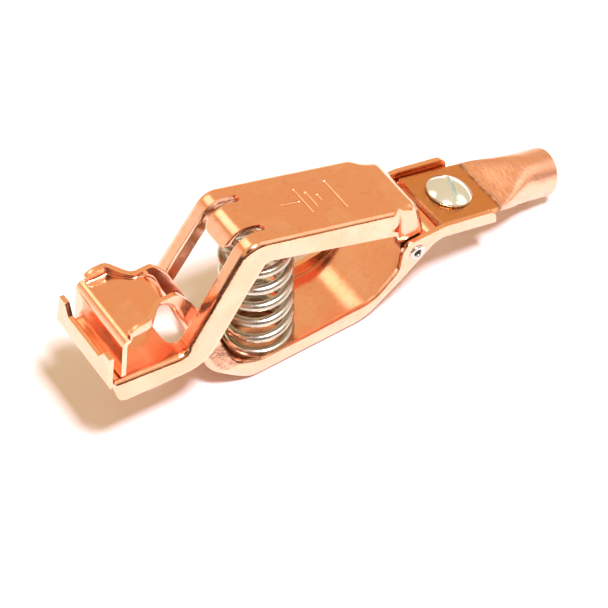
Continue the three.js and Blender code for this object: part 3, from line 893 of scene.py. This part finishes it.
def buildLug():
    angle = fullTurn(96)[None]
    out = np.unique(np.concatenate([np.linspace(palm["start"], palm["mouth"], 90),
                                    palm["crease"] + np.linspace(-1, 1, 21)]))[:, None]
    back = np.linspace(palm["mouth"], palm["crease"] + palm["socketEnd"], 50)[:, None]
    skin = np.concatenate([lugSection(out, angle, 0), lugSection(back, angle, palm["wall"])])
    lug = tidyMesh(pieceFromGrid("cableLug", skin, loopCols=True, caps=True))
    hole = tidyMesh(bar("lugHole", bottomSize["screwHole"], -1, 6))
    settle(lug, bevel(0.14, 50), cutBy(hole))
    scrap(hole)
    return lug


def nodeGroup(name, inputs, low, high):
    # a group that gives one mask; Low and High are where it starts and is full
    group = bpy.data.node_groups.new(name, "ShaderNodeTree")
    for label, kind, value in [*inputs, ("Low", "Float", low), ("High", "Float", high)]:
        made = group.interface.new_socket(label, in_out="INPUT", socket_type="NodeSocket" + kind)
        if value is not None:
            made.default_value = value
    group.interface.new_socket("Mask", in_out="OUTPUT", socket_type="NodeSocketFloat")
    return group, group.nodes.new("NodeGroupInput")


def finishGroup(group, enter, value):
    ramp = group.nodes.new("ShaderNodeMapRange")
    group.links.new(value, ramp.inputs["Value"])
    group.links.new(enter.outputs["Low"], ramp.inputs["From Min"])
    group.links.new(enter.outputs["High"], ramp.inputs["From Max"])
    group.links.new(ramp.outputs["Result"], group.nodes.new("NodeGroupOutput").inputs["Mask"])
    return group


def buildScratches():
    # noise stretched along one direction, kept where it is strongest
    group, enter = nodeGroup("fineScratches", [("Vector", "Vector", None),
                                               ("Stretch", "Vector", (300.0, 9000.0, 9000.0)),
                                               ("Turn", "Vector", (0.0, 0.0, 0.0))], 0.55, 0.75)
    turn = group.nodes.new("ShaderNodeMapping")
    stretch = group.nodes.new("ShaderNodeVectorMath")
    stretch.operation = "MULTIPLY"
    noise = group.nodes.new("ShaderNodeTexNoise")
    noise.inputs["Scale"].default_value = 1.0
    noise.inputs["Detail"].default_value = 3.0
    group.links.new(enter.outputs["Vector"], turn.inputs["Vector"])
    group.links.new(enter.outputs["Turn"], turn.inputs["Rotation"])
    group.links.new(turn.outputs["Vector"], stretch.inputs[0])
    group.links.new(enter.outputs["Stretch"], stretch.inputs[1])
    group.links.new(stretch.outputs["Vector"], noise.inputs["Vector"])
    return finishGroup(group, enter, noise.outputs["Fac"])


def buildClouds():
    # broad soft patches, for tarnish and for polish that varies
    group, enter = nodeGroup("softPatches", [("Vector", "Vector", None), ("Scale", "Float", 90.0)], 0.4, 0.7)
    noise = group.nodes.new("ShaderNodeTexNoise")
    noise.inputs["Detail"].default_value = 5.0
    noise.inputs["Roughness"].default_value = 0.55
    noise.inputs["Distortion"].default_value = 0.3
    group.links.new(enter.outputs["Vector"], noise.inputs["Vector"])
    group.links.new(enter.outputs["Scale"], noise.inputs["Scale"])
    return finishGroup(group, enter, noise.outputs["Fac"])


def buildPaintedEdgeHighlight():
    # painted highlight: corners and ridges, found by their pointiness, lightened as if they caught the light
    group, enter = nodeGroup("paintedEdgeHighlight", [], 0.52, 0.6)
    shape = group.nodes.new("ShaderNodeNewGeometry")
    return finishGroup(group, enter, shape.outputs["Pointiness"])


# the last effect paints highlights on corners and ridges
effects = {"scratches": buildScratches(), "patches": buildClouds(), "edgeHighlight": buildPaintedEdgeHighlight()}


def buildMetal(name, look):
    # colour, roughness and height start from the look's own values, and each layer's mask adds to them
    material = bpy.data.materials.new(name)
    material.use_nodes = True
    nodes, links = material.node_tree.nodes, material.node_tree.links
    shader = nodes["Principled BSDF"]
    seat = nodes.new("ShaderNodeTexCoord").outputs["Object"]

    def feed(socket, value):
        if isinstance(value, bpy.types.NodeSocket):
            links.new(value, socket)
        else:
            socket.default_value = value

    def combine(operation, one, two):
        node = nodes.new("ShaderNodeMath")
        node.operation = operation
        feed(node.inputs[0], one)
        feed(node.inputs[1], two)
        return node.outputs[0]

    def effect(kind, settings):
        node = nodes.new("ShaderNodeGroup")
        node.node_tree = effects[kind]
        if "Vector" in node.inputs:
            links.new(seat, node.inputs["Vector"])
        for label, value in settings.items():
            node.inputs[label].default_value = value
        return node.outputs["Mask"]

    def span(low, high):
        # rises from 0 to 1 between two distances along the look's own way
        dot = nodes.new("ShaderNodeVectorMath")
        dot.operation = "DOT_PRODUCT"
        links.new(seat, dot.inputs[0])
        dot.inputs[1].default_value = look["way"]
        ramp = nodes.new("ShaderNodeMapRange")
        links.new(dot.outputs["Value"], ramp.inputs["Value"])
        ramp.inputs["From Min"].default_value, ramp.inputs["From Max"].default_value = low, high
        return ramp.outputs["Result"]

    colour, rough, height = (*look["base"], 1), look["rough"], 0.0
    for layer in look["layers"]:
        masks = [span(*ends) for ends in layer.get("spans", ())]
        if "effect" in layer:
            masks.append(effect(layer["effect"], layer["at"]))
        mask = masks[0]
        for other in masks[1:]:
            mask = combine("MULTIPLY", mask, other)
        if "tint" in layer:
            mix = nodes.new("ShaderNodeMix")
            mix.data_type = "RGBA"
            feed(mix.inputs["Factor"], combine("MULTIPLY", mask, layer["share"]))
            feed(mix.inputs["A"], colour)
            feed(mix.inputs["B"], (*layer["tint"], 1))
            colour = mix.outputs["Result"]
        if "rough" in layer:
            rough = combine("ADD", rough, combine("MULTIPLY", mask, layer["rough"]))
        if "height" in layer:
            height = combine("ADD", height, combine("MULTIPLY", mask, layer["height"]))
    feed(shader.inputs["Base Color"], colour)
    feed(shader.inputs["Roughness"], rough)
    for label, value in look["shader"].items():
        feed(shader.inputs[label], value)
    if "bump" in look:
        bump = nodes.new("ShaderNodeBump")
        bump.inputs["Strength"].default_value = look["bump"]
        bump.inputs["Distance"].default_value = 1.0
        links.new(height, bump.inputs["Height"])
        links.new(bump.outputs["Normal"], shader.inputs["Normal"])
    return material


# in each look, share is how far a layer tints, and height is in metres
polishedCopper = {
    "base": (0.95, 0.51, 0.355),
    "rough": 0.14,
    "bump": 0.5,
    "shader": {"Metallic": 1.0, "Coat Weight": 0.6, "Coat Roughness": 0.08},
    "layers": [
        # tarnish, then paler and darker spots
        {"effect": "patches", "at": {"Scale": 70.0, "Low": 0.35, "High": 0.75},
         "tint": (0.92, 0.42, 0.21), "share": 0.7, "rough": 0.12},
        {"effect": "patches", "at": {"Scale": 125.0, "Low": 0.5, "High": 0.64},
         "tint": (0.96, 0.58, 0.41), "share": 0.55},
        {"effect": "patches", "at": {"Scale": 850.0, "Low": 0.56, "High": 0.7},
         "tint": (0.78, 0.32, 0.14), "share": 0.35},
        # rolling lines along the sheet and scratches across it
        {"effect": "scratches", "at": {"Stretch": (220.0, 7000.0, 7000.0), "Low": 0.55, "High": 0.85},
         "rough": 0.10, "height": -0.000004},
        {"effect": "scratches", "at": {"Stretch": (5000.0, 500.0, 5000.0), "Turn": (0.0, 0.0, 0.6),
                                       "Low": 0.66, "High": 0.82},
         "tint": (0.97, 0.6, 0.42), "share": 0.25, "height": -0.000005},
        # the sheet's waviness and its grain
        {"effect": "patches", "at": {"Scale": 150.0, "Low": 0.2, "High": 0.8}, "height": 0.00016},
        {"effect": "patches", "at": {"Scale": 1400.0, "Low": 0.3, "High": 0.7}, "height": 0.000014},
        # painted highlight on the corners and ridges
        {"effect": "edgeHighlight", "at": {"Low": 0.52, "High": 0.62}, "tint": (0.98, 0.62, 0.42), "share": 0.45},
    ],
}

palmPitch = math.radians(bottomSize["platformPitch"])
fold = 0.05496      # the crease's distance along the palm, m
brushedCopper = {
    "base": (0.90, 0.50, 0.36),
    "rough": 0.24,
    "bump": 0.6,
    "way": (math.cos(palmPitch), 0, -math.sin(palmPitch)),
    "shader": {"Metallic": 1.0},
    "layers": [
        {"effect": "scratches", "at": {"Stretch": (6000.0, 350.0, 3000.0), "Turn": (0.0, 0.0, 0.15),
                                       "Low": 0.45, "High": 0.7},
         "tint": (0.95, 0.66, 0.52), "share": 0.6, "rough": 0.1, "height": -0.00003},
        {"effect": "patches", "at": {"Scale": 160.0, "Low": 0.45, "High": 0.75},
         "tint": (0.42, 0.2, 0.09), "share": 0.3, "rough": 0.12},
        # the darker palm, and the stain in its crease
        {"spans": [(fold, fold - 0.0006)], "tint": (0.68, 0.30, 0.09), "share": 0.85},
        {"spans": [(fold - 0.0011, fold - 0.0002), (fold + 0.0010, fold + 0.0001)],
         "effect": "patches", "at": {"Scale": 420.0, "Low": 0.35, "High": 0.6},
         "tint": (0.20, 0.09, 0.025), "share": 0.85, "rough": 0.2},
        # painted highlight on the corners and ridges
        {"effect": "edgeHighlight", "at": {"Low": 0.52, "High": 0.6}, "tint": (0.97, 0.6, 0.4), "share": 0.5},
    ],
}

springNickel = {
    "base": (0.57, 0.57, 0.48),
    "rough": 0.25,
    "bump": 0.4,
    "shader": {"Metallic": 1.0},
    "layers": [
        {"effect": "patches", "at": {"Scale": 220.0, "Low": 0.4, "High": 0.7},
         "tint": (0.36, 0.33, 0.26), "share": 0.6, "rough": 0.1},
        {"effect": "scratches", "at": {"Stretch": (1200.0, 1200.0, 9000.0), "Low": 0.5, "High": 0.8},
         "rough": 0.08, "height": -0.000006},
    ],
}

brightPlating = {
    "base": (0.74, 0.86, 0.86),
    "rough": 0.11,
    "bump": 0.4,
    "shader": {"Metallic": 0.88},
    "layers": [
        {"effect": "patches", "at": {"Scale": 180.0, "Low": 0.5, "High": 0.8}, "rough": 0.08},
        {"effect": "scratches", "at": {"Stretch": (700.0, 6000.0, 6000.0), "Turn": (0.0, 0.0, 0.9),
                                       "Low": 0.68, "High": 0.85},
         "tint": (0.85, 0.86, 0.85), "share": 0.3, "height": -0.000004},
    ],
}

platedSteel = {
    "base": (0.6, 0.6, 0.57),
    "rough": 0.22,
    "shader": {"Metallic": 1.0},
    "layers": [
        {"effect": "patches", "at": {"Scale": 300.0, "Low": 0.4, "High": 0.7},
         "tint": (0.45, 0.44, 0.4), "share": 0.5, "rough": 0.12},
        # painted highlight on the corners and ridges
        {"effect": "edgeHighlight", "at": {"Low": 0.52, "High": 0.6}, "tint": (0.85, 0.85, 0.83), "share": 0.6},
    ],
}

sharpFrom = 38      # degrees; flatter edges are shaded smooth


def dress(piece, material, body, slotName, *cadNodes):
    piece.data.materials.clear()
    piece.data.materials.append(material)
    smoothFaces(piece)
    piece.data.set_sharp_from_angle(angle=math.radians(sharpFrom))
    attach(piece, body)
    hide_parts(*cadNodes)


copper = buildMetal("polishedCopper", polishedCopper)
lugCopper = buildMetal("brushedCopper", brushedCopper)
nickel = buildMetal("springNickel", springNickel)
bright = buildMetal("brightPlating", brightPlating)
plated = buildMetal("platedSteel", platedSteel)
print("materials made")

topLever = buildTopLever()
dress(topLever, copper, "top", "lever_copper", "top_lever")
bottomLever = buildBottomLever()
dress(bottomLever, copper, "bottom", "lever_copper", "bottom_lever")
print("levers pressed", len(topLever.data.polygons), len(bottomLever.data.polygons))

spring = buildSpring()
dress(spring, nickel, "bottom", "spring_wire", "spring")
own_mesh(spring)
for side, node in ((-1, "pivot_eyelet_right"), (1, "pivot_eyelet_left")):
    dress(buildEyelet(side), plated, "bottom", "plated_steel", node)
print("spring and eyelets in")

for piece, material, slotName, node in ((buildScrew(), bright, "bright_plating", "cable_screw"),
                                        (buildNut(), plated, "plated_steel", "screw_nut"),
                                        (buildWasher(), plated, "plated_steel", "lock_washer"),
                                        (buildLug(), lugCopper, "lug_copper", "cable_lug")):
    dress(toPlatform(piece), material, "bottom", slotName, node)
print("cable end in")
